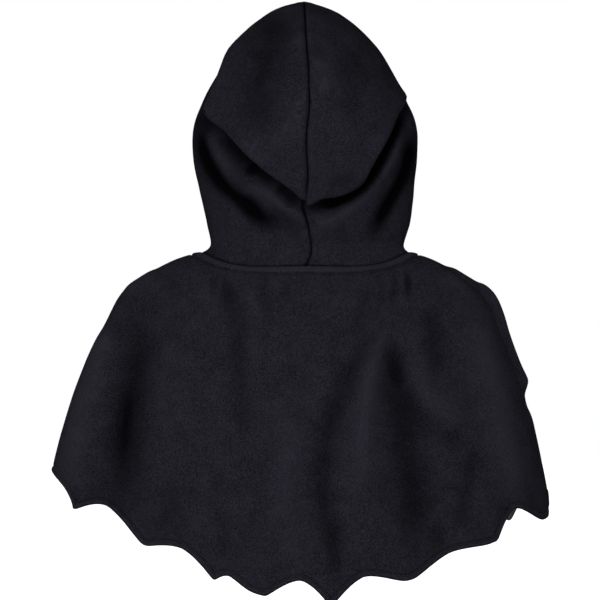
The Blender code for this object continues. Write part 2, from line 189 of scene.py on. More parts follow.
HOOD_FOLDS = (
    Fold(((0.060, 0.266), (0.079, 0.240), (0.0925, 0.207), (0.104, 0.180), (0.108, 0.168),
          (0.101, 0.158), (0.086, 0.145), (0.065, 0.123), (0.039, 0.100), (0.014, 0.081),
          (0.002, 0.073), (-0.007, 0.066), (-0.017, 0.073), (-0.039, 0.077), (-0.060, 0.089),
          (-0.070, 0.106), (-0.083, 0.130), (-0.097, 0.156), (-0.110, 0.184), (-0.118, 0.200)),
         0.0115, 0.0036, 0.0050, 0.0055, 0.07),
    Fold(((0.108, 0.150), (0.101, 0.128), (0.086, 0.100), (0.072, 0.080), (0.050, 0.080),
          (0.028, 0.068), (0.010, 0.052), (0.000, 0.042)), 0.0034, 0.0062, fade=0.12),
    Fold(((-0.004, 0.040), (-0.030, 0.050), (-0.058, 0.068), (-0.080, 0.094), (-0.098, 0.120),
          (-0.112, 0.150)), 0.0034, 0.0075, fade=0.12),
    Fold(((0.116, 0.180), (0.116, 0.150), (0.112, 0.122), (0.098, 0.096), (0.078, 0.078),
          (0.058, 0.060), (0.040, 0.044), (0.026, 0.032)), -0.0125, 0.0098, fade=0.30),
    Fold(((-0.118, 0.156), (-0.117, 0.128), (-0.110, 0.100), (-0.097, 0.076), (-0.084, 0.052),
          (-0.066, 0.010)), -0.0120, 0.0092, fade=0.26),
    Fold(((-0.108, 0.180), (-0.099, 0.150), (-0.087, 0.122), (-0.074, 0.098), (-0.058, 0.081),
          (-0.034, 0.068), (-0.008, 0.058)), -0.0100, 0.0070, fade=0.16),
    Fold(((0.069, 0.256), (0.0830, 0.236), (0.0950, 0.212), (0.1055, 0.188), (0.1130, 0.170)),
         -0.0056, 0.0032, fade=0.15),
    Fold(((0.098, 0.148), (0.080, 0.122), (0.056, 0.100), (0.028, 0.078)), -0.0046, 0.0100),
    Fold(((0.064, 0.108), (0.057, 0.094)), -0.0040, 0.0060, fade=0.45),
    Fold(((0.034, 0.086), (0.022, 0.074), (0.006, 0.062)), -0.0050, 0.0050),
    Fold(((0.044, 0.062), (0.024, 0.046), (0.008, 0.028)), -0.0034, 0.0090),
    Fold(((0.024, 0.284), (0.036, 0.245), (0.052, 0.190), (0.046, 0.130)), -0.0052, 0.0200, fade=0.2),
    Fold(((0.022, 0.290), (0.012, 0.255), (0.006, 0.215)), 0.0016, 0.0070),
    Fold(((-0.002, 0.198), (0.010, 0.174), (0.024, 0.143), (0.030, 0.122)), 0.0022, 0.0060),
    Fold(((-0.006, 0.228), (-0.016, 0.210), (-0.022, 0.180)), 0.0038, 0.0075),
    Fold(((-0.045, 0.250), (-0.052, 0.200), (-0.045, 0.150)), -0.0026, 0.0160),
    Fold(((-0.020, 0.084), (-0.040, 0.092), (-0.057, 0.098)), -0.0024, 0.0050),
    Fold(((-0.030, 0.043), (-0.040, 0.030), (-0.052, 0.018)), -0.0026, 0.0080),
    Fold(((0.012, 0.030), (0.004, 0.018)), -0.0018, 0.0070, fade=0.4),
)

CAPE_FOLDS = (
    Fold(((-0.150, 0.002), (-0.178, -0.012), (-0.196, -0.032)), 0.0050, 0.0160),
    Fold(((0.160, 0.000), (0.185, -0.012), (0.200, -0.032)), 0.0050, 0.0160),
    Fold(((0.176, -0.030), (0.184, -0.090), (0.194, -0.160), (0.199, -0.225), (0.197, -0.300)),
         -0.0085, 0.0240, fade=0.3),
    Fold(((0.192, -0.110), (0.198, -0.170), (0.202, -0.230)), -0.0046, 0.0075, fade=0.4),
    Fold(((0.208, -0.060), (0.230, -0.110), (0.249, -0.180), (0.260, -0.250)), 0.0090, 0.0170,
         fade=0.18),
    Fold(((0.140, -0.060), (0.146, -0.120), (0.152, -0.220)), 0.0030, 0.0180, fade=0.35),
    Fold(((0.088, -0.006), (0.078, -0.050), (0.072, -0.100), (0.064, -0.210)), -0.0042, 0.0110),
    Fold(((0.102, -0.010), (0.096, -0.045), (0.090, -0.080)), 0.0024, 0.0080),
    Fold(((0.045, -0.004), (0.044, -0.035), (0.038, -0.070)), -0.0032, 0.0070),
    Fold(((0.062, -0.010), (0.056, -0.060), (0.048, -0.130)), 0.0026, 0.0110),
    Fold(((-0.074, -0.010), (-0.062, -0.050), (-0.048, -0.080)), -0.0030, 0.0080),
    Fold(((-0.099, -0.020), (-0.077, -0.070), (-0.050, -0.114), (-0.028, -0.170),
          (-0.019, -0.225), (-0.024, -0.280), (-0.033, -0.330)), -0.0064, 0.0110),
    Fold(((-0.094, -0.030), (-0.082, -0.075), (-0.068, -0.130), (-0.062, -0.200),
          (-0.058, -0.280)), 0.0085, 0.0130, fade=0.3),
    Fold(((-0.096, -0.060), (-0.101, -0.120), (-0.108, -0.180), (-0.118, -0.250),
          (-0.120, -0.330)), -0.0085, 0.0200, fade=0.22),
    Fold(((-0.094, -0.070), (-0.099, -0.110), (-0.108, -0.140)), -0.0040, 0.0070, fade=0.4),
    Fold(((-0.108, -0.130), (-0.125, -0.160), (-0.152, -0.182), (-0.186, -0.198)), -0.0042, 0.0090),
    Fold(((-0.108, -0.060), (-0.116, -0.105), (-0.134, -0.142), (-0.156, -0.158),
          (-0.186, -0.168)), 0.0056, 0.0150),
    Fold(((-0.132, -0.040), (-0.144, -0.080), (-0.144, -0.125)), -0.0060, 0.0095),
    Fold(((-0.1125, 0.004), (-0.1140, -0.040)), -0.0080, 0.0028, fade=0.45),
    Fold(((-0.102, 0.002), (-0.094, -0.050)), -0.0056, 0.0035, fade=0.45),
    Fold(((-0.087, -0.004), (-0.082, -0.054)), -0.0036, 0.0040, fade=0.45),
    Fold(((0.102, 0.002), (0.098, -0.044)), -0.0044, 0.0032, fade=0.45),
    Fold(((0.088, -0.002), (0.082, -0.050)), -0.0036, 0.0040, fade=0.45),
    Fold(((0.022, -0.010), (0.020, -0.040)), -0.0024, 0.0060, fade=0.45),
    Fold(((-0.030, -0.262), (-0.032, -0.300), (-0.034, -0.350)), -0.0056, 0.0080, fade=0.45),
    Fold(((-0.144, -0.265), (-0.144, -0.318)), -0.0050, 0.0060, fade=0.45),
    Fold(((-0.186, -0.190), (-0.178, -0.235), (-0.166, -0.295)), -0.0050, 0.0075),
    Fold(((-0.180, -0.040), (-0.200, -0.110), (-0.218, -0.180), (-0.232, -0.270)), 0.0085, 0.0180,
         fade=0.18),
    Fold(((0.092, -0.250), (0.084, -0.338)), -0.0030, 0.0060, fade=0.45),
    Fold(((0.140, -0.215), (0.150, -0.300)), -0.0040, 0.0120, fade=0.4),
    Fold(((0.014, -0.120), (0.018, -0.230), (0.008, -0.340)), 0.0044, 0.0180),
)

LEFT_FRONT_FOLDS = (
    Fold(((0.150, -0.050), (0.170, -0.130), (0.185, -0.260)), -0.0050, 0.0130),
    Fold(((0.100, -0.060), (0.120, -0.150), (0.130, -0.300)), 0.0040, 0.0150),
    Fold(((0.070, -0.090), (0.085, -0.180), (0.095, -0.320)), -0.0040, 0.0100),
    Fold(((0.200, -0.060), (0.225, -0.140), (0.240, -0.250)), 0.0035, 0.0120),
)

RIGHT_FRONT_FOLDS = (
    Fold(((-0.150, 0.002), (-0.180, -0.012), (-0.200, -0.034)), 0.0060, 0.0220),
    Fold(((-0.145, -0.045), (-0.165, -0.130), (-0.172, -0.280)), -0.0055, 0.0130),
    Fold(((-0.095, -0.060), (-0.112, -0.150), (-0.125, -0.300)), 0.0040, 0.0150),
    Fold(((-0.060, -0.090), (-0.078, -0.190), (-0.092, -0.320)), -0.0036, 0.0100),
    Fold(((-0.185, -0.020), (-0.216, -0.060), (-0.238, -0.105), (-0.246, -0.142)), 0.0120, 0.0130,
         fade=0.14),
    Fold(((-0.248, -0.140), (-0.236, -0.162), (-0.215, -0.175)), -0.0050, 0.0070),
)


class ClothSizes(PropertyGroup):
    """Thicknesses of the cloth and the size of its grid."""

    shell: FloatProperty(
        name="Fleece", description="Thickness of the fleece", default=0.0014, unit="LENGTH")
    loft: FloatProperty(
        name="Loft", description="Air between the fleece and the lining", default=0.0012,
        unit="LENGTH")
    lining: FloatProperty(
        name="Lining", description="Thickness of the lining", default=0.0008, unit="LENGTH")
    grid: FloatProperty(
        name="Grid", description="Distance between the grid lines of the fleece",
        default=0.0026, unit="LENGTH")
    fine: FloatProperty(
        name="Edge grid", description="Distance between the grid lines along an edge",
        default=0.0009, unit="LENGTH")
    scallop_steps: IntProperty(
        name="Scallop steps", description="Grid columns in each scallop of the hem", default=26)
    lumps: FloatProperty(
        name="Lumps", description="Height of the soft unevenness of the hanging cloth",
        default=0.0013, unit="LENGTH")


class CapeSizes(PropertyGroup):
    """Outline of the cape, from the solids."""

    back_length: FloatProperty(
        name="Back length", description="From the neck seam to the lowest point of the hem",
        default=0.369, unit="LENGTH")
    hem_half_width: FloatProperty(
        name="Hem half width", description="Half the width across the hem",
        default=BACK_HIGH[0] + 0.0007, unit="LENGTH")
    hem_half_depth: FloatProperty(
        name="Hem half depth", description="Half the distance from the back to the front hem",
        default=BACK_HIGH[1] - NECK_CENTRE_Y, unit="LENGTH")
    band: FloatProperty(
        name="Edge band", description="Width of the turned edge outside the topstitching",
        default=0.0055, unit="LENGTH")
    band_height: FloatProperty(
        name="Band height", description="How far the turned edge swells", default=0.0006,
        unit="LENGTH")
    neck_band: FloatProperty(
        name="Neck band", description="Width of the seam allowance that swells below the neck",
        default=0.0105, unit="LENGTH")


class HoodSizes(PropertyGroup):
    """Outline of the hood, from the solids."""

    groove: FloatProperty(
        name="Seam groove", description="Depth of the centre seam", default=0.0022, unit="LENGTH")
    groove_width: FloatProperty(
        name="Seam groove width", description="Half width of the centre seam's groove",
        default=0.0022, unit="LENGTH")


class StitchSizes(PropertyGroup):
    """The topstitching."""

    pitch: FloatProperty(
        name="Pitch", description="Distance from one stitch to the next", default=0.0031,
        unit="LENGTH")
    length: FloatProperty(
        name="Length", description="Length of each stitch", default=0.0023, unit="LENGTH")
    thickness: FloatProperty(
        name="Thickness", description="Thickness of the thread", default=0.0005, unit="LENGTH")


class FinishColours(PropertyGroup):
    """Colours of the cloths, in linear light."""

    fleece: FloatVectorProperty(
        name="Fleece", description="Brushed outer cloth", default=(0.0034, 0.0032, 0.0044),
        subtype="COLOR", min=0.0, max=1.0)
    lining: FloatVectorProperty(
        name="Lining", description="Smooth woven inner cloth", default=(0.0060, 0.0060, 0.0080),
        subtype="COLOR", min=0.0, max=1.0)
    thread: FloatVectorProperty(
        name="Thread", description="Sewing thread", default=(0.0050, 0.0050, 0.0065),
        subtype="COLOR", min=0.0, max=1.0)
    tape: FloatVectorProperty(
        name="Tape", description="Twill tape", default=(0.0140, 0.0140, 0.0165),
        subtype="COLOR", min=0.0, max=1.0)
    label: FloatVectorProperty(
        name="Label", description="Blank woven label", default=(0.62, 0.61, 0.59),
        subtype="COLOR", min=0.0, max=1.0)


class StageSizes(PropertyGroup):
    """Camera, light and floor."""

    distance: FloatProperty(
        name="Camera distance", description="From the camera to the middle of the cape",
        default=5.0, unit="LENGTH")
    view_height: FloatProperty(
        name="View height", description="Height that fills the picture",
        default=0.660, unit="LENGTH")
    aim: FloatVectorProperty(
        name="Aim", description="Point in the middle of the picture",
        default=(0.0055, 0.0, -0.0374), unit="LENGTH")
    floor_drop: FloatProperty(
        name="Floor drop", description="Distance from the hem down to the floor",
        default=0.060, unit="LENGTH")
    daylight: FloatProperty(
        name="Daylight", description="Strength of the even light from all sides", default=1.0)
    key: FloatProperty(
        name="Key light", description="Power of the large light over the camera, in watts",
        default=230.0)
    rim: FloatProperty(
        name="Side light", description="Power of each side light, in watts", default=16.0)


# --- curves and grids ----------------------------------------------------------------------------
def spline(keys, rows, at):
    """Read a smooth curve through rows of values, one row for each key, at many places."""
    keys = np.asarray(keys, dtype=float)
    rows = np.asarray(rows, dtype=float)
    at = np.asarray(at, dtype=float)
    slopes = np.gradient(rows, keys, axis=0)
    i = np.clip(np.searchsorted(keys, at) - 1, 0, len(keys) - 2)
    span = keys[i + 1] - keys[i]
    t = (at - keys[i]) / span
    if rows.ndim > 1:
        span = span[..., None]
        t = t[..., None]
    rest = 1.0 - t
    start = rows[i] * (1.0 + 2.0 * t) * rest * rest + slopes[i] * span * t * rest * rest
    end = rows[i + 1] * (3.0 - 2.0 * t) * t * t - slopes[i + 1] * span * t * t * rest
    return start + end


def smooth(low, high, at):
    """Rise from 0 at low to 1 at high without corners."""
    t = np.clip((at - low) / (high - low), 0.0, 1.0)
    return t * t * (3.0 - 2.0 * t)


def place3(x, y, z):
    """Stack three arrays of coordinates into points."""
    return np.stack(np.broadcast_arrays(x, y, z), axis=-1)


def unit(vectors):
    """Scale vectors to a length of 1."""
    return vectors / np.maximum(np.linalg.norm(vectors, axis=-1, keepdims=True), 1e-12)


def outward_of(points):
    """Return the outward direction at each point of a grid."""
    along = np.gradient(points, axis=1)
    down = np.gradient(points, axis=0)
    return unit(np.cross(along, down))


def lengths_down(points):
    """Return the distance of each grid point from its column's first point."""
    steps = np.linalg.norm(np.diff(points, axis=0), axis=-1)
    return np.vstack((np.zeros((1, points.shape[1])), np.cumsum(steps, axis=0)))


def graded(length, fine_start, fine_end, fine, coarse):
    """Return shares from 0 to 1, close together over a stretch at each end."""
    start = np.arange(0.0, fine_start, fine)
    end = length - np.arange(0.0, fine_end, fine)[::-1]
    count = max(2, int(round((end[0] - fine_start) / coarse)) + 1)
    middle = np.linspace(fine_start, end[0], count)[:-1]
    return np.concatenate((start, middle, end)) / length


def distance_to(points, line):
    """Return each point's distance from a line of close points."""
    finder = kdtree.KDTree(len(line))
    for i, point in enumerate(line):
        finder.insert(point, i)
    finder.balance()
    flat = points.reshape(-1, 3)
    return np.array([finder.find(point)[2] for point in flat]).reshape(points.shape[:-1])


def dense(line, step=0.0006):
    """Fill a line of points up until they are close together."""
    run = np.concatenate(([0.0], np.cumsum(np.linalg.norm(np.diff(line, axis=0), axis=1))))
    at = np.linspace(0.0, run[-1], int(run[-1] / step) + 2)
    return np.stack([np.interp(at, run, line[:, i]) for i in range(3)], axis=-1)


def lumpy(points, size, seed):
    """Return smooth noise between about -1 and 1 at each point."""
    shift = Vector((seed * 7.3, seed * 3.1, seed * 5.7))
    flat = points.reshape(-1, 3) / size
    values = [noise.noise(Vector(point) + shift) for point in flat]
    return np.array(values).reshape(points.shape[:-1])


# --- folds ---------------------------------------------------------------------------------------
def fold_push(points, fold, outward, toward):
    """Return how a fold moves each point, and how much painted shade its colour gets there, negative
    for painted highlight.
    """
    path = np.array(fold.path)
    count = 240
    line = spline(range(len(path)), path, np.linspace(0.0, len(path) - 1.0, count))
    tangent = unit(np.gradient(line, axis=0))
    normal = np.stack((tangent[:, 1], -tangent[:, 0]), axis=-1)
    flat = points.reshape(-1, 3)[:, (0, 2)]
    gaps = ((flat[:, None, :] - line[None, :, :]) ** 2).sum(axis=2)
    nearest = gaps.argmin(axis=1)
    offset = flat - line[nearest]
    away = np.sqrt(gaps.min(axis=1))
    across = away * np.sign((offset * normal[nearest]).sum(axis=1))
    beyond = (offset * tangent[nearest]).sum(axis=1)
    beyond = np.where((nearest == 0) | (nearest == count - 1), beyond, 0.0)
    share = nearest / (count - 1.0)
    ends = smooth(0.0, fold.fade, share) * smooth(0.0, fold.fade, 1.0 - share)
    ends = ends * np.exp(-(beyond / fold.width) ** 2)
    width = fold.width
    if fold.hang:
        stand = fold.height / (1.0 + np.exp(-2.2 * across / width))
        stand = stand * np.exp(-np.maximum(across, 0.0) / 0.050)
        stand = stand - fold.tuck * np.exp(-((across + 1.5 * width) / (1.6 * width)) ** 2)
        droop = -fold.hang * (across / width) * np.exp(0.5 - 0.5 * (across / width) ** 2)
        # Painted shade in the tuck under a lip, and a little painted highlight along the lip's edge.
        painted_shade = fold.tuck * np.exp(-((across + 2.0 * width) / (1.7 * width)) ** 2)
        painted_shade = painted_shade - 0.15 * fold.tuck * np.exp(-((across - 1.2 * width) / width) ** 2)
    else:
        stand = fold.height * np.exp(-(across / width) ** 2)
        droop = np.zeros_like(stand)
        # Painted shade along a valley and painted highlight along a ridge.
        painted_shade = -stand
    side = place3(normal[nearest][:, 0], 0.0, normal[nearest][:, 1])
    outward = unit(outward.reshape(-1, 3) + np.array((0.0, toward, 0.0)))
    side = unit(side - outward * (side * outward).sum(axis=1, keepdims=True))
    push = outward * (stand * ends)[:, None] + side * (droop * ends)[:, None]
    return push.reshape(points.shape), (painted_shade * ends).reshape(points.shape[:2])


def relaxed(grid, rounds):
    """Average each inner value of a grid with its neighbours, a number of times."""
    grid = grid.copy()
    for _ in range(rounds):
        grid[1:-1] = (grid[:-2] + 2.0 * grid[1:-1] + grid[2:]) / 4.0
        grid[:, 1:-1] = (grid[:, :-2] + 2.0 * grid[:, 1:-1] + grid[:, 2:]) / 4.0
    return grid


def fold_cloth(points, folds, strength, toward):
    """Press folds into a grid of cloth, leaning them to the back, and return their painted shade too.
    """
    outward = outward_of(points)
    push = np.zeros_like(points)
    shade = np.zeros(points.shape[:2])
    for fold in folds:
        moved, painted_shade = fold_push(points, fold, outward, toward)
        push += moved
        shade += painted_shade
    return points + relaxed(push * strength[..., None], FOLD_ROUNDS), shade * strength


# --- the shape of the cape -----------------------------------------------------------------------
def neck_edge(angle):
    """Return points of the neck seam."""
    turn = np.radians(angle)
    front = (1.0 - np.cos(turn)) / 2.0
    z = NECK_SHOULDER_RISE * np.sin(turn) ** 4 - NECK_FRONT_DROP * front
    return place3(NECK_HALF_WIDTH * np.sin(turn), NECK_CENTRE_Y + NECK_HALF_DEPTH * np.cos(turn), z)


def hem_edge(angle, sizes):
    """Return points of the smooth line through the hem's tips."""
    turn = np.radians(angle)
    held = np.clip(angle, HEM_TIPS[0, 0], HEM_TIPS[-1, 0])
    depth = spline(HEM_TIPS[:, 0], HEM_TIPS[:, 1], held)
    x = sizes.hem_half_width * np.sin(turn) * (1.0 - HEM_LEAN * (1.0 - np.sin(turn)))
    y = NECK_CENTRE_Y + sizes.hem_half_depth * np.cos(turn)
    return place3(x, y, -sizes.back_length * depth)


def cape_surface(angle, share, sizes):
    """Return points of the cape's face at shares of the way from the neck to the hem."""
    turn = np.radians(angle)
    forward = np.cos(turn)
    drop = np.where(forward > 0.0, SHOULDER_BACK_DROP, SHOULDER_FRONT_DROP)
    x = SHOULDER_HALF_WIDTH * np.sin(turn)
    y = NECK_CENTRE_Y + SHOULDER_HALF_DEPTH * forward
    shoulder = place3(x, y, -drop * forward * forward)
    near = np.exp(-((share - SHOULDER_POINT_AT) / SHOULDER_POINT_REACH) ** 2) * np.sin(turn) ** 8
    point = SHOULDER_POINT * near
    out = place3(SIDE_SLOPE[0] * point * np.sign(turn), 0.0, SIDE_SLOPE[1] * point)
    share = share[..., None]
    rest = 1.0 - share
    hem = hem_edge(angle, sizes)
    curve = rest * rest * neck_edge(angle) + 2.0 * share * rest * shoulder + share * share * hem
    return curve + out


def hem_share(angle, sizes):
    """Return how far down its column the cloth reaches, between tips and arches."""
    ends = HEM_TIPS[:, 0]
    i = np.clip(np.searchsorted(ends, angle) - 1, 0, len(ends) - 2)
    t = np.clip((angle - ends[i]) / (ends[i + 1] - ends[i]), 0.0, 1.0)
    t = t ** (math.log(0.5) / np.log(HEM_TIPS[i, 3]))
    arch = HEM_TIPS[i, 2] * (1.0 - np.abs(2.0 * t - 1.0) ** SCALLOP_POWER)
    length = np.linalg.norm(hem_edge(angle, sizes) - neck_edge(angle), axis=-1)
    return 1.0 - np.hypot(arch, TIP_ROUND) / length


def hem_columns(first, last, steps):
    """Return the angles of a panel's columns, with one on each tip of the hem."""
    inner = []
    for low, high in zip(HEM_TIPS[:-1, 0], HEM_TIPS[1:, 0]):
        t = np.linspace(0.0, 1.0, steps, endpoint=False)
        eased = t - 0.06 * np.sin(2.0 * np.pi * t)
        inner.extend(low + (high - low) * eased)
    margin = 0.3
    inner = [angle for angle in inner if first + margin < angle < last - margin]
    return np.array([first, *inner, last])


def front_widening(share, seam):
    """Return how much wider than at the hem a front panel is, measured in angle."""
    side = math.copysign(1.0, seam)
    slant = smooth(FRONT_SLANT_FROM, FRONT_SLANT_TO, share)
    front_edge = FRONT_NECK_ANGLE + (FRONT_HEM_ANGLE - FRONT_NECK_ANGLE) * slant
    return (side * front_edge - seam) / (side * FRONT_HEM_ANGLE - seam)


def back_grid(sizes, cloth):
    """Return the flat-lying grid of the back panel's face, before its folds."""
    columns = hem_columns(RIGHT_SEAM, LEFT_SEAM, cloth.scallop_steps)
    rows = graded(sizes.back_length, 0.010, 0.016, cloth.fine, cloth.grid)
    angle, share = np.meshgrid(columns, rows)
    return cape_surface(angle, share * hem_share(angle, sizes), sizes), angle, share


def front_grid(seam, under, sizes, cloth):
    """Return the grid of a front panel's face, before its folds."""
    side = math.copysign(1.0, seam)
    far = side * FRONT_HEM_ANGLE
    columns = hem_columns(min(seam, far), max(seam, far), cloth.scallop_steps)
    rows = graded(sizes.back_length, 0.010, 0.016, cloth.fine, cloth.grid)
    hem_angle, share = np.meshgrid(columns, rows)
    angle = seam + (hem_angle - seam) * front_widening(share, seam)
    points = cape_surface(angle, share * hem_share(hem_angle, sizes), sizes)
    if under:
        tuck = UNDERLAP_DEPTH * smooth(UNDERLAP_FROM, UNDERLAP_TO, np.abs(angle))
        points = points - outward_of(points) * tuck[..., None]
    return points, angle, share


def hood_grid(side, cloth):
    """Return one half of the hood before its folds, and how far round each column is."""
    levels = graded(HOOD_RUN, 0.010, 0.003, cloth.fine, cloth.grid)
    turns = graded(HOOD_GIRTH, 0.014, 0.006, cloth.fine, cloth.grid)
    turn, level = np.meshgrid(turns if side > 0 else turns[::-1], levels)
    hoop = spline(HOOD_HOOPS[:, 0], HOOD_HOOPS[:, 1:], level)
    seam_y, seam_z, face_y, face_z, half_width, half_opening, fold = np.moveaxis(hoop, -1, 0)
    bulge_at, more, reach = HOOD_BULGE[side]
    half_width = np.maximum(half_width, 0.0012)
    half_width = half_width * (1.0 + more * np.exp(-((level - bulge_at) / reach) ** 2))
    fold = np.maximum(fold, 1.0)
    ratio = np.clip(half_opening / half_width, 0.02, 0.98)
    start = -np.arccos(ratio ** (1.0 / fold))
    angle = start + (np.pi / 2.0 - start) * turn
    back = (np.sin(angle) - np.sin(start)) / (1.0 - np.sin(start))
    x = side * half_width * np.maximum(np.cos(angle), 0.0) ** fold
    y = face_y + (seam_y - face_y) * back
    z = face_z + (seam_z - face_z) * back
    rise = NECK_SHOULDER_RISE * np.cos(angle) ** 4 * np.maximum(0.0, 1.0 - 4.0 * level) ** 2
    return place3(x, y, z + rise), turn, level


# --- sewing --------------------------------------------------------------------------------------
def grid_mesh(name, outer, inner, material, shade=None):
    """Close two grids that lie over each other into one mesh with a rounded rim, and store any
    painted shade on it.
    """
    rows, columns = outer.shape[:2]
    index = np.arange(rows * columns).reshape(rows, columns)
    quads = np.stack((index[:-1, :-1], index[:-1, 1:], index[1:, 1:], index[1:, :-1]), axis=-1)
    quads = quads.reshape(-1, 4)
    rim = np.concatenate((index[0, :-1], index[:-1, -1], index[-1, :0:-1], index[:0:-1, 0]))
    flat_outer = outer.reshape(-1, 3)
    flat_inner = inner.reshape(-1, 3)
    middle = (flat_outer[rim] + flat_inner[rim]) / 2.0
    around = np.roll(middle, -1, axis=0) - np.roll(middle, 1, axis=0)
    through = flat_outer[rim] - flat_inner[rim]
    bulge = unit(np.cross(around, through)) * np.linalg.norm(through, axis=1)[:, None] * 0.35
    middle = middle + bulge
    total = rows * columns
    mid_index = 2 * total + np.arange(len(rim))
    nxt = np.roll(np.arange(len(rim)), -1)
    top = np.stack((rim[nxt], rim, mid_index, mid_index[nxt]), axis=-1)
    low = np.stack((mid_index[nxt], mid_index, total + rim, total + rim[nxt]), axis=-1)
    faces = np.concatenate((quads, quads[:, ::-1] + total, top, low))
    mesh = bpy.data.meshes.new(name)
    vertices = np.concatenate((flat_outer, flat_inner, middle))
    mesh.from_pydata(vertices.tolist(), [], faces.tolist())
    across = np.concatenate(([0.0], np.cumsum(np.linalg.norm(
        np.diff(outer[rows // 2], axis=0), axis=1))))
    down = lengths_down(outer)
    flat_uv = np.stack((np.broadcast_to(across, down.shape), down), axis=-1).reshape(-1, 2)
    uv = np.concatenate((flat_uv, flat_uv, flat_uv[rim]))
    layer = mesh.uv_layers.new(name="cloth")
    corners = np.empty(len(mesh.loops), dtype=int)
    mesh.loops.foreach_get("vertex_index", corners)
    layer.data.foreach_set("uv", uv[corners].astype(np.float32).ravel())
    # The shade is painted shade for the fleece's colour, negative for painted highlight, kept in the
    # "hollow" attribute.
    if shade is not None:
        hollow = np.clip(shade, -1.0, 1.0).ravel()
        layer = mesh.attributes.new("hollow", "FLOAT", "POINT")
        hollow = np.concatenate((hollow, hollow, hollow[rim]))
        layer.data.foreach_set("value", hollow.astype(np.float32))
    mesh.shade_smooth()
    mesh.materials.append(material)
    mesh.update()
    piece = bpy.data.objects.new(name, mesh)
    bpy.context.scene.collection.objects.link(piece)
    return piece


def shell(name, points, thickness, material, shade):
    """Give a grid of cloth its thickness, inward from its face, and its painted shading."""
    return grid_mesh(name, points, points - outward_of(points) * thickness, material, shade)


def edge_gap(points, line, reach=0.016):
    """Return each point's distance from an edge of the panel, where it is near."""
    near = dense(line)
    gap = np.full(points.shape[:2], 1.0)
    close = np.all((points > near.min(axis=0) - reach) & (points < near.max(axis=0) + reach), axis=-1)
    gap[close] = distance_to(points[close], near)
    return gap


def raise_band(points, gap, band, height):
    """Swell the turned edge of a panel and sink the line that it is stitched along."""
    swell = np.clip(1.0 - ((gap - band / 2.0) / (band / 2.0)) ** 4, 0.0, 1.0)
    groove = np.exp(-((gap - band) / 0.0010) ** 2)
    return points + outward_of(points) * (height * (swell - 1.4 * groove))[..., None]


def seam_shade(gap, band, light=0.0):
    """Return the painted shade along a panel's edge and its topstitching, and the painted highlight
    on the band between them.
    """
    line = 0.8 * np.exp(-((gap - band) / 0.0013) ** 2) + 0.8 * np.exp(-(gap / 0.0012) ** 2)
    return line - light * np.clip(1.0 - ((gap - band / 2.0) / (band / 2.0)) ** 2, 0.0, 1.0)


def contour(points, gap, band, order="hem"):
    """Return the line that runs at the band's width inside one edge of a panel."""
    line = []
    rows, columns = gap.shape
    for c in range(columns):
        column = gap[:, c]
        inside = np.nonzero(column >= band)[0]
        if not len(inside):
            continue
        r = inside[-1] if order == "hem" else inside[0]
        other = r + 1 if order == "hem" else r - 1
        if not 0 <= other < rows:
            continue
        t = (column[r] - band) / max(column[r] - column[other], 1e-9)
        line.append(points[r, c] + (points[other, c] - points[r, c]) * min(max(t, 0.0), 1.0))
    return np.array(line)


def stitch_tree():
    """Build the node tree that sets stitches along a line."""
    tree = bpy.data.node_groups.new("stitch_line", "GeometryNodeTree")
    face = tree.interface
    face.new_socket("Geometry", in_out="INPUT", socket_type="NodeSocketGeometry")
    for name in ("Pitch", "Length", "Thickness"):
        face.new_socket(name, in_out="INPUT", socket_type="NodeSocketFloat")
    face.new_socket("Material", in_out="INPUT", socket_type="NodeSocketMaterial")
    face.new_socket("Geometry", in_out="OUTPUT", socket_type="NodeSocketGeometry")
    nodes = tree.nodes
    link = tree.links.new
    given = nodes.new("NodeGroupInput")
    curve = nodes.new("GeometryNodeMeshToCurve")
    spaced = nodes.new("GeometryNodeResampleCurve")
    spaced.mode = "LENGTH"
    tangent = nodes.new("GeometryNodeInputTangent")
    turned = nodes.new("FunctionNodeAlignRotationToVector")
    turned.axis = "X"
    bead = nodes.new("GeometryNodeMeshUVSphere")
    bead.inputs["Segments"].default_value = 8
    bead.inputs["Rings"].default_value = 5
    bead.inputs["Radius"].default_value = 0.5
    size = nodes.new("ShaderNodeCombineXYZ")
    placed = nodes.new("GeometryNodeInstanceOnPoints")
    real = nodes.new("GeometryNodeRealizeInstances")
    painted = nodes.new("GeometryNodeSetMaterial")
    out = nodes.new("NodeGroupOutput")
    link(given.outputs["Geometry"], curve.inputs["Mesh"])
    link(curve.outputs["Curve"], spaced.inputs["Curve"])
    link(given.outputs["Pitch"], spaced.inputs["Length"])
    link(tangent.outputs["Tangent"], turned.inputs["Vector"])
    link(given.outputs["Length"], size.inputs["X"])
    link(given.outputs["Thickness"], size.inputs["Y"])
    link(given.outputs["Thickness"], size.inputs["Z"])
    link(spaced.outputs["Curve"], placed.inputs["Points"])
    link(bead.outputs["Mesh"], placed.inputs["Instance"])
    link(turned.outputs["Rotation"], placed.inputs["Rotation"])
    link(size.outputs["Vector"], placed.inputs["Scale"])
    link(placed.outputs["Instances"], real.inputs["Geometry"])
    link(real.outputs["Geometry"], painted.inputs["Geometry"])
    link(given.outputs["Material"], painted.inputs["Material"])
    link(painted.outputs["Geometry"], out.inputs["Geometry"])
    return tree


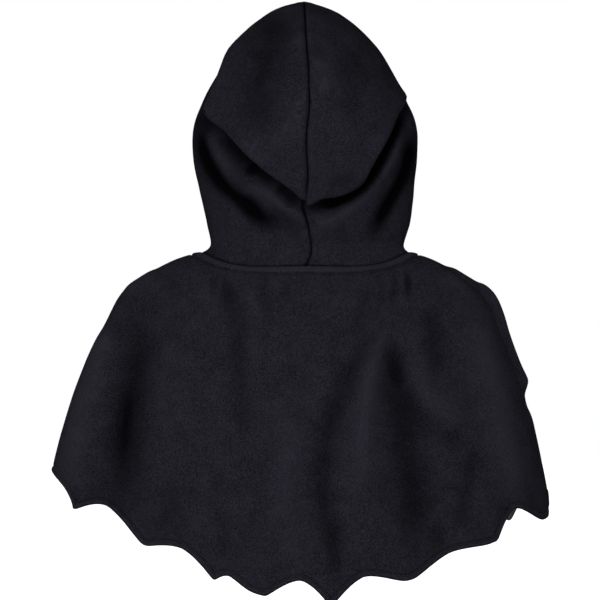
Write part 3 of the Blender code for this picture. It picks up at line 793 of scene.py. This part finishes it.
def stitch(name, lines, material):
    """Sew stitches along lines of points, as one mesh."""
    sizes = bpy.context.scene.cape_stitches
    vertices = np.concatenate(lines)
    edges = []
    first = 0
    for line in lines:
        edges += [(first + i, first + i + 1) for i in range(len(line) - 1)]
        first += len(line)
    mesh = bpy.data.meshes.new(name)
    mesh.from_pydata(vertices.tolist(), edges, [])
    piece = bpy.data.objects.new(name, mesh)
    bpy.context.scene.collection.objects.link(piece)
    tree = bpy.data.node_groups.get("stitch_line") or stitch_tree()
    modifier = piece.modifiers.new("stitches", "NODES")
    modifier.node_group = tree
    values = {"Pitch": sizes.pitch, "Length": sizes.length, "Thickness": sizes.thickness,
              "Material": material}
    for item in tree.interface.items_tree:
        if item.in_out == "INPUT" and item.name in values:
            modifier[item.identifier] = values[item.name]
    bpy.context.view_layer.update()
    sewn = piece.evaluated_get(bpy.context.evaluated_depsgraph_get())
    finished = bpy.data.meshes.new_from_object(sewn)
    piece.modifiers.clear()
    piece.data = finished
    finished.name = name
    finished.shade_smooth()
    return piece


# --- materials -----------------------------------------------------------------------------------
class Value:
    """A number in a material that Python operators can work on."""

    def __init__(self, paint, socket):
        self.paint = paint
        self.socket = socket

    def _with(self, operation, *values):
        return self.paint.node("ShaderNodeMath", {"operation": operation}, *values)

    def __add__(self, other):
        return self._with("ADD", self, other)

    __radd__ = __add__

    def __mul__(self, other):
        return self._with("MULTIPLY", self, other)

    __rmul__ = __mul__

    def __sub__(self, other):
        return self._with("SUBTRACT", self, other)

    def __rsub__(self, other):
        return self._with("SUBTRACT", other, self)

    def __lt__(self, other):
        return self._with("LESS_THAN", self, other)

    def __gt__(self, other):
        return self._with("GREATER_THAN", self, other)


class Paint:
    """One material, built node by node."""

    def __init__(self, name, **fixed):
        self.material = bpy.data.materials.new(name)
        self.material.use_nodes = True
        self.tree = self.material.node_tree
        self.shader = self.tree.nodes["Principled BSDF"]
        for socket, value in fixed.items():
            self.shader.inputs[socket.replace("_", " ")].default_value = value

    def node(self, kind, settings, *values, output=0, **named):
        """Add a node with its settings, then fill its sockets with values or links."""
        node = self.tree.nodes.new(kind)
        for key, value in settings.items():
            setattr(node, key, value)
        filled = list(enumerate(values))
        filled += [(key.replace("_", " "), value) for key, value in named.items()]
        for key, value in filled:
            self.fill(node.inputs[key], value)
        return Value(self, node.outputs[output])

    def fill(self, socket, value):
        """Link a value to a socket, or set the socket's own value."""
        if isinstance(value, Value):
            self.tree.links.new(value.socket, socket)
        else:
            socket.default_value = value

    def place(self, source="Object"):
        """Return object coordinates, or the cloth's own."""
        return self.node("ShaderNodeTexCoord", {}, output=source)

    def grain(self, scale, detail=3.0, roughness=0.6, place=None):
        """Return noise between 0 and 1."""
        return self.node("ShaderNodeTexNoise", {}, Vector=place or self.place(), Scale=scale,
                         Detail=detail, Roughness=roughness, output="Fac")

    def wave(self, direction, scale, distortion):
        """Return bands across the cloth's own coordinates, between 0 and 1."""
        return self.node("ShaderNodeTexWave", {"wave_type": "BANDS", "bands_direction": direction},
                         Vector=self.place("UV"), Scale=scale, Distortion=distortion, output="Fac")

    def mix(self, factor, low, high):
        """Blend two colours."""
        node = self.tree.nodes.new("ShaderNodeMix")
        node.data_type = "RGBA"
        self.fill(node.inputs[0], factor)
        self.fill(node.inputs[6], low)
        self.fill(node.inputs[7], high)
        return Value(self, node.outputs[2])

    def stretch(self, value, low, high):
        """Spread the stretch of a value from low to high over 0 to 1."""
        return self.node("ShaderNodeMapRange", {"clamp": True}, value, low, high, 0.0, 1.0)

    def bump(self, height, distance, strength=1.0, normal=None):
        """Turn a height into a normal."""
        named = {"Strength": strength, "Distance": distance, "Height": height}
        if normal is not None:
            named["Normal"] = normal
        return self.node("ShaderNodeBump", {}, **named)

    def finish(self, **sockets):
        """Feed the shader and return the material."""
        for socket, value in sockets.items():
            self.fill(self.shader.inputs[socket.replace("_", " ")], value)
        return self.material


def tone(colour, factor):
    """Return a colour made lighter or darker, with its alpha."""
    return (*[channel * factor for channel in colour], 1.0)


def fleece_material():
    """Brushed fleece: mottled, matt, with a short nap, pills and specks of lint, and painted shade
    and painted highlight from the "hollow" attribute.
    """
    colour = bpy.context.scene.cape_finish.fleece
    paint = Paint("brushed_fleece", Specular_IOR_Level=0.0)
    place = paint.place()
    cloud = paint.grain(45.0, 3.0, 0.55, place)
    mottle = paint.grain(260.0, 2.0, 0.6, place)
    nap = paint.grain(1150.0, 1.0, 0.6, place)
    shade = paint.stretch(nap * 0.76 + mottle * 0.10 + cloud * 0.14, 0.42, 0.60)
    cloth = paint.mix(shade, tone(colour, 0.40), tone(colour, 1.75))
    lint = paint.node("ShaderNodeTexVoronoi", {"feature": "F1"}, Vector=place, Scale=85.0,
                      output="Distance")
    # Painted shade: the "hollow" attribute mixes the colour toward a tenth of itself in folds, seams
    # and under lips.
    painted_shading = paint.node("ShaderNodeAttribute", {"attribute_name": "hollow"}, output="Fac")
    cloth = paint.mix(painted_shading, cloth, tone(colour, 0.10))
    # Painted highlight: where "hollow" is negative, on ridges and swelling bands, the colour is
    # lightened.
    cloth = paint.mix(painted_shading * -0.55, cloth, tone(colour, 2.2))
    speck = lint < 0.032
    cloth = paint.mix(speck * 0.5, cloth, tone(colour, 7.0))
    lie = paint.bump(nap, 0.0006, 0.8, paint.bump(mottle, 0.0010, 0.5))
    return paint.finish(Base_Color=cloth, Roughness=0.86 + mottle * 0.12, Normal=lie)


def lining_material():
    """Plain woven lining: fine, smooth, with a soft gloss."""
    colour = bpy.context.scene.cape_finish.lining
    paint = Paint("woven_lining", Specular_IOR_Level=0.3)
    weave = paint.wave("X", 420.0, 0.3) * paint.wave("Y", 420.0, 0.3)
    cloud = paint.grain(60.0, 3.0)
    cloth = paint.mix(paint.stretch(weave * 0.4 + cloud * 0.6, 0.2, 0.8), tone(colour, 0.7),
                      tone(colour, 1.35))
    return paint.finish(Base_Color=cloth, Roughness=0.48 + cloud * 0.2,
                        Normal=paint.bump(weave, 0.0002, 0.5))


def tape_material(name, colour, scale=260.0):
    """Twill tape: fine slanted ribs."""
    paint = Paint(name, Specular_IOR_Level=0.2)
    rib = paint.wave("DIAGONAL", scale, 0.4)
    fibre = paint.grain(1200.0, 2.0)
    cloth = paint.mix(rib * 0.6 + fibre * 0.4, tone(colour, 0.6), tone(colour, 1.25))
    return paint.finish(Base_Color=cloth, Roughness=0.62 + fibre * 0.2,
                        Normal=paint.bump(rib, 0.0003, 0.7))


def thread_material():
    """Sewing thread: slightly glossy, with a fine twist."""
    colour = bpy.context.scene.cape_finish.thread
    paint = Paint("sewing_thread", Specular_IOR_Level=0.2)
    twist = paint.grain(3000.0, 1.0)
    cloth = paint.mix(twist, tone(colour, 0.7), tone(colour, 1.5))
    return paint.finish(Base_Color=cloth, Roughness=0.45 + twist * 0.2,
                        Normal=paint.bump(twist, 0.0002, 0.6))


def floor_material():
    """Pale studio floor."""
    paint = Paint("studio_floor", Specular_IOR_Level=0.1, Emission_Color=(1.0, 1.0, 1.0, 1.0),
                  Emission_Strength=0.25)
    grain = paint.grain(3.0, 2.0)
    return paint.finish(Base_Color=paint.mix(grain, (0.90, 0.90, 0.90, 1.0), (0.94, 0.94, 0.94, 1.0)),
                        Roughness=0.9 - grain * 0.05)


def material(name, make, *values):
    """Return a material by name, made the first time that it is asked for."""
    return bpy.data.materials.get(name) or make(*values)


# --- pieces --------------------------------------------------------------------------------------
def settle(points, folds, side_fade, cloth, seed, toward=TOWARD_BACK):
    """Add folds and soft lumps to a panel, calm beside its seams, and return the painted shade of its
    folds too.
    """
    folded, shade = fold_cloth(points, folds, side_fade, toward)
    swell = lumpy(folded, 0.045, seed) * cloth.lumps + lumpy(folded, 0.016, seed) * cloth.lumps * 0.25
    return folded + outward_of(folded) * (swell * side_fade)[..., None], shade


def lining_under(points, cloth, gap, skip=2):
    """Return the lining's two faces under a panel, drawn up to the fleece along its edges."""
    picked = (list(range(0, points.shape[0], skip)), list(range(0, points.shape[1], skip)))
    for chosen, last in zip(picked, (points.shape[0] - 1, points.shape[1] - 1)):
        if chosen[-1] != last:
            chosen.append(last)
    grid = np.ix_(*picked)
    outward = outward_of(points)[grid]
    padded = np.pad(points, ((skip, skip), (skip, skip), (0, 0)), mode="reflect", reflect_type="odd")
    around = (padded[:-2 * skip, skip:-skip] + padded[2 * skip:, skip:-skip]
              + padded[skip:-skip, :-2 * skip] + padded[skip:-skip, 2 * skip:]) / 4.0
    hollow = ((around - points)[grid] * outward).sum(axis=-1)
    clear = 0.00035
    depth = cloth.shell + clear + (cloth.loft - clear) * smooth(0.004, 0.020, gap[grid])
    depth = depth + 1.4 * np.maximum(hollow, 0.0)
    outer = points[grid] - outward * depth[..., None]
    inner = outer - outward * cloth.lining
    return outer, inner


def follow(piece, body):
    """Let a piece ride on one body; with two bodies, only bake its placement into its mesh."""
    if isinstance(body, str):
        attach(piece, body)
    else:
        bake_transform(piece)


def declare(piece, node, body):
    """Hide the part that a sheet of cloth replaces, and attach the sheet to its body or bake it in
    place.
    """
    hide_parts(node)
    follow(piece, body)


def sew_panel(name, points, shade, lines, gap, body, cloth):
    """Make a panel's fleece, topstitching and lining, all following the same body or bodies."""
    fleece = material("brushed_fleece", fleece_material)
    panel = shell(f"{name}_fleece", points, cloth.shell, fleece, shade)
    sewn = stitch(f"{name}_stitching", lines, material("sewing_thread", thread_material))
    follow(sewn, body)
    declare(panel, f"{name}_panel", body)
    outer, inner = lining_under(points, cloth, gap)
    woven = material("woven_lining", lining_material)
    lining = grid_mesh(f"{name}_lining_cloth", outer, inner, woven)
    declare(lining, f"{name}_lining", body)


def sew_cape_panel(name, face, front, body, scene):
    """Turn the hem, neck and side edges of the back or a front, and make its cloth."""
    points, shade, from_seam = face
    sizes = scene.cape_sizes
    hem = edge_gap(points, points[-1])
    if front is not None:
        hem = np.minimum(hem, edge_gap(points, points[:, front]))
    neck = edge_gap(points, points[0])
    points = raise_band(points, hem, sizes.band, sizes.band_height)
    points = raise_band(points, neck, sizes.neck_band, 2.0 * sizes.band_height)
    turned_in = SIDE_TURN_IN * np.exp(-(from_seam / SIDE_TURN_REACH) ** 2)
    points = points - outward_of(points) * turned_in[..., None]
    # Painted shade from the folds, along the hem and neck topstitching and beside the side seams,
    # with painted highlight on the swelling hem and neck bands.
    shade = shade / CAPE_SHADE + seam_shade(hem, sizes.band, 0.35)
    shade = shade + seam_shade(neck, sizes.neck_band, 0.75)
    shade = shade + 0.8 * np.exp(-(from_seam / SIDE_SHADE_REACH) ** 2)
    lines = [contour(points, hem, sizes.band, "hem"), contour(points, neck, sizes.neck_band, "neck")]
    sew_panel(name, points, shade, lines, np.minimum(hem, neck), body, scene.cape_cloth)


def back_face(sizes, cloth):
    """Return the face of the back panel, its painted shade, and each point's angle from a side seam.
    """
    points, angle, share = back_grid(sizes, cloth)
    from_seam = np.minimum(angle - RIGHT_SEAM, LEFT_SEAM - angle)
    calm = smooth(0.0, 12.0, from_seam) * smooth(0.0, 0.05, share)
    points, shade = settle(points, CAPE_FOLDS, calm, cloth, 1.0)
    gather = np.sin(np.radians(angle) * 95.0 + 2.0 * lumpy(points, 0.02, 4.0))
    puckers = 0.0009 * gather * np.exp(-share / 0.05) * smooth(0.012, 0.030, share)
    deep = np.exp(-((angle + 66.0) / 5.0) ** 2) + 0.5 * np.exp(-((angle - 40.0) / 8.0) ** 2)
    points = points + outward_of(points) * (puckers * (0.4 + 1.6 * deep))[..., None]
    return points, shade, from_seam


def front_face(seam, folds, seed, sizes, cloth):
    """Return the face of a front panel, its painted shade, and each point's angle from its side seam.
    """
    points, angle, share = front_grid(seam, seam > 0.0, sizes, cloth)
    from_seam = np.abs(angle - seam)
    lap = smooth(150.0, 162.0, np.abs(angle)) * (1.0 - smooth(0.35, 0.5, share))
    calm = smooth(0.0, 12.0, from_seam) * smooth(0.0, 0.05, share) * (1.0 - lap)
    points, shade = settle(points, folds, calm, cloth, seed, 0.0)
    return points, shade, from_seam


def hood_face(side, scene):
    """Return the finished face of a hood half, how far round it is, its edge gap and its painted
    shade.
    """
    sizes = scene.cape_hood
    cloth = scene.cape_cloth
    edge = scene.cape_sizes
    at_face, at_seam = (0, -1) if side > 0 else (-1, 0)
    base, turn, level = hood_grid(side, cloth)
    crown = 1.0 - smooth(0.94, 0.99, level)
    calm = smooth(0.20, 0.38, turn) * smooth(0.0, 0.06, level) * crown
    points, shade = settle(base, HOOD_FOLDS, calm, cloth, 5.0, HOOD_TOWARD_BACK)
    gap = edge_gap(points, points[:, at_face])
    points = raise_band(points, gap, edge.band, edge.band_height)
    from_seam = np.abs(points[..., 0]) + 0.02 * (turn < 0.6)
    groove = sizes.groove * np.exp(-(from_seam / sizes.groove_width) ** 2)
    puff = 0.0010 * np.exp(-((from_seam - 0.0060) / 0.0035) ** 2)
    points = points + outward_of(points) * ((puff - groove) * crown)[..., None]
    points[..., 0] = side * np.maximum(side * points[..., 0], 0.0)
    points[:, at_seam, 0] = 0.0
    points[..., 0] *= 1.0 - smooth(0.985, 1.0, level)
    height = np.clip(points[..., 2], 0.0, SEAM_WANDER[-1, 0])
    wander = spline(SEAM_WANDER[:, 0], SEAM_WANDER[:, 1], height)
    points[..., 0] += wander * (1.0 - smooth(0.0, 0.070, np.abs(points[..., 0])))
    # Painted shade along the bottom row at the neck seam and along the centre seam's groove, added to
    # the folds' and the face edge's painted shade.
    neck = 0.7 * np.exp(-((points[..., 2] - points[:1, :, 2]) / 0.0016) ** 2)
    middle = 1.2 * np.exp(-(from_seam / (0.45 * sizes.groove_width)) ** 2)
    return points, turn, gap, shade / HOOD_SHADE + seam_shade(gap, edge.band) + middle + neck


def front_blend(side, seam, sizes):
    """Return the back and a front's own body, with the hem end of its side seam and where the front
    has given way.
    """
    held = hem_edge(np.array(seam), sizes)
    loose = held + FRONT_GIVE * FRONT_GIVE_WAY
    return "cape_back", f"{side}_front", tuple(held.tolist()), tuple(loose.tolist())


def sew_patch(node, cloth, blend):
    """Make a welded copy of a patch in its cloth, in place of the solid, baked where it lies."""
    solid = frame["nodes"][node]
    mesh = solid.data.copy()
    mesh.transform(solid.matrix_world)
    welded = bmesh.new()
    welded.from_mesh(mesh)
    bmesh.ops.remove_doubles(welded, verts=welded.verts, dist=1e-6)
    welded.to_mesh(mesh)
    welded.free()
    mesh.materials.clear()
    mesh.materials.append(cloth)
    patch = bpy.data.objects.new(f"{node}_cloth", mesh)
    bpy.context.scene.collection.objects.link(patch)
    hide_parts(node)
    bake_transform(patch)


class CAPE_OT_back(Operator):
    """Make the back panel, its lining and its topstitching."""

    bl_idname = "cape.back"
    bl_label = "Back"

    def execute(self, context):
        """Build the back of the cape."""
        scene = context.scene
        face = back_face(scene.cape_sizes, scene.cape_cloth)
        sew_cape_panel("back", face, None, "cape_back", scene)
        return {"FINISHED"}


class CAPE_OT_fronts(Operator):
    """Make the two front panels, their linings and their topstitching."""

    bl_idname = "cape.fronts"
    bl_label = "Fronts"

    def execute(self, context):
        """Build both fronts."""
        scene = context.scene
        sizes = scene.cape_sizes
        for side, seam, folds, seed, front in (("left", LEFT_SEAM, LEFT_FRONT_FOLDS, 2.0, -1),
                                               ("right", RIGHT_SEAM, RIGHT_FRONT_FOLDS, 3.0, 0)):
            face = front_face(seam, folds, seed, sizes, scene.cape_cloth)
            body = front_blend(side, seam, sizes)
            sew_cape_panel(f"{side}_front", face, front, body, scene)
        return {"FINISHED"}


class CAPE_OT_hood(Operator):
    """Make both halves of the hood, their linings and the topstitching round the face."""

    bl_idname = "cape.hood"
    bl_label = "Hood"

    def execute(self, context):
        """Build the hood."""
        scene = context.scene
        body = ("cape_back", "hood", (0.0, 0.0, 0.0), (0.0, 0.0, HOOD_HIGH[2]))
        faces = [hood_face(side, scene) for side in (1, -1)]
        meet = (faces[0][0][:, -1] + faces[1][0][:, 0]) / 2.0
        for name, at_seam, order, face in (("left", -1, "neck", faces[0]),
                                           ("right", 0, "hem", faces[1])):
            points, turn, gap, shade = face
            apart = meet - points[:, at_seam]
            points = points + apart[:, None] * smooth(0.9, 1.0, turn)[..., None]
            line = contour(np.swapaxes(points, 0, 1), gap.T, scene.cape_sizes.band, order)
            sew_panel(f"hood_{name}", points, shade, [line], gap, body, scene.cape_cloth)
        return {"FINISHED"}


class CAPE_OT_trims(Operator):
    """Finish the tape, hanger loop, label and patches inside the neck."""

    bl_idname = "cape.trims"
    bl_label = "Neck trims"

    def execute(self, context):
        """Give the small pieces their cloths."""
        colours = context.scene.cape_finish
        tape = material("twill_tape", tape_material, "twill_tape", colours.tape)
        label = material("woven_label", tape_material, "woven_label", colours.label, 400.0)
        fleece = material("brushed_fleece", fleece_material)
        for node, cloth in (("neck_tape", tape), ("hanger_loop", tape), ("neck_label", label),
                            ("shoulder_tape_left", tape), ("shoulder_tape_right", tape)):
            piece = frame["nodes"][node]
            for slot in piece.material_slots:
                slot.material = cloth
        sizes = context.scene.cape_sizes
        sew_patch("hook_patch", tape, front_blend("right", RIGHT_SEAM, sizes))
        sew_patch("loop_patch", fleece, front_blend("left", LEFT_SEAM, sizes))
        return {"FINISHED"}


class CAPE_OT_stage(Operator):
    """Make the floor, the lights and the camera."""

    bl_idname = "cape.stage"
    bl_label = "Stage"

    def execute(self, context):
        """Build the studio."""
        scene = context.scene
        sizes = scene.cape_stage
        aim = Vector(sizes.aim)
        mesh = bpy.data.meshes.new("studio_floor")
        reach = 6.0
        z = CAD_BOX[0][2] - sizes.floor_drop
        corners = [(-reach, -reach, z), (reach, -reach, z), (reach, reach, z), (-reach, reach, z)]
        mesh.from_pydata(corners, [], [(0, 1, 2, 3)])
        mesh.materials.append(material("studio_floor", floor_material))
        floor = bpy.data.objects.new("studio_floor", mesh)
        scene.collection.objects.link(floor)
        world = bpy.data.worlds.new("studio")
        world.use_nodes = True
        backdrop = world.node_tree.nodes["Background"]
        backdrop.inputs["Color"].default_value = (1.0, 1.0, 1.0, 1.0)
        backdrop.inputs["Strength"].default_value = sizes.daylight
        scene.world = world
        for name, spot, size, power in (
                ("key", (0.5, 2.8, 0.9), 1.1, sizes.key),
                ("left", (2.0, 0.9, 0.5), 1.0, sizes.rim),
                ("right", (-2.0, 0.9, 0.5), 1.0, sizes.rim)):
            light = bpy.data.lights.new(name, "AREA")
            light.energy = power
            light.size = size
            lamp = bpy.data.objects.new(name, light)
            lamp.location = spot
            lamp.rotation_euler = (aim - Vector(spot)).to_track_quat("-Z", "Y").to_euler()
            scene.collection.objects.link(lamp)
        lens = bpy.data.cameras.new("camera")
        lens.sensor_width = 36.0
        lens.lens = lens.sensor_width * sizes.distance / sizes.view_height
        lens.clip_end = 50.0
        camera = bpy.data.objects.new("camera", lens)
        camera.location = (aim.x, aim.y + sizes.distance, aim.z)
        camera.rotation_euler = (math.radians(90.0), 0.0, math.radians(180.0))
        scene.collection.objects.link(camera)
        scene.camera = camera
        scene.view_settings.view_transform = "Standard"
        return {"FINISHED"}


class VIEW3D_PT_cape(Panel):
    """Lists the steps that build the cape."""

    bl_label = "Hooded cape"
    bl_space_type = "VIEW_3D"
    bl_region_type = "UI"
    bl_category = "Cape"

    def draw(self, context):
        """Draw one button for each step, and the sizes below."""
        layout = self.layout
        for step in STEPS:
            layout.operator(step.bl_idname)
        for name in GROUPS:
            box = layout.box()
            group = getattr(context.scene, name)
            for prop in group.bl_rna.properties:
                if prop.identifier not in {"rna_type", "name"}:
                    box.prop(group, prop.identifier)


STEPS = (CAPE_OT_stage, CAPE_OT_back, CAPE_OT_fronts, CAPE_OT_hood, CAPE_OT_trims)
GROUPS = {
    "cape_cloth": ClothSizes,
    "cape_sizes": CapeSizes,
    "cape_hood": HoodSizes,
    "cape_stitches": StitchSizes,
    "cape_finish": FinishColours,
    "cape_stage": StageSizes,
}
CLASSES = (*GROUPS.values(), *STEPS, VIEW3D_PT_cape)


def register():
    """Register the classes and hang the sizes on the scene."""
    for cls in CLASSES:
        bpy.utils.register_class(cls)
    for name, group in GROUPS.items():
        setattr(bpy.types.Scene, name, PointerProperty(type=group))


def unregister():
    """Undo register."""
    for name in GROUPS:
        delattr(bpy.types.Scene, name)
    for cls in reversed(CLASSES):
        bpy.utils.unregister_class(cls)


def main():
    """Build the whole cape."""
    register()
    bpy.ops.cape.stage()
    bpy.ops.cape.back()
    bpy.ops.cape.fronts()
    bpy.ops.cape.hood()
    bpy.ops.cape.trims()


if __name__ == "__main__":
    main()
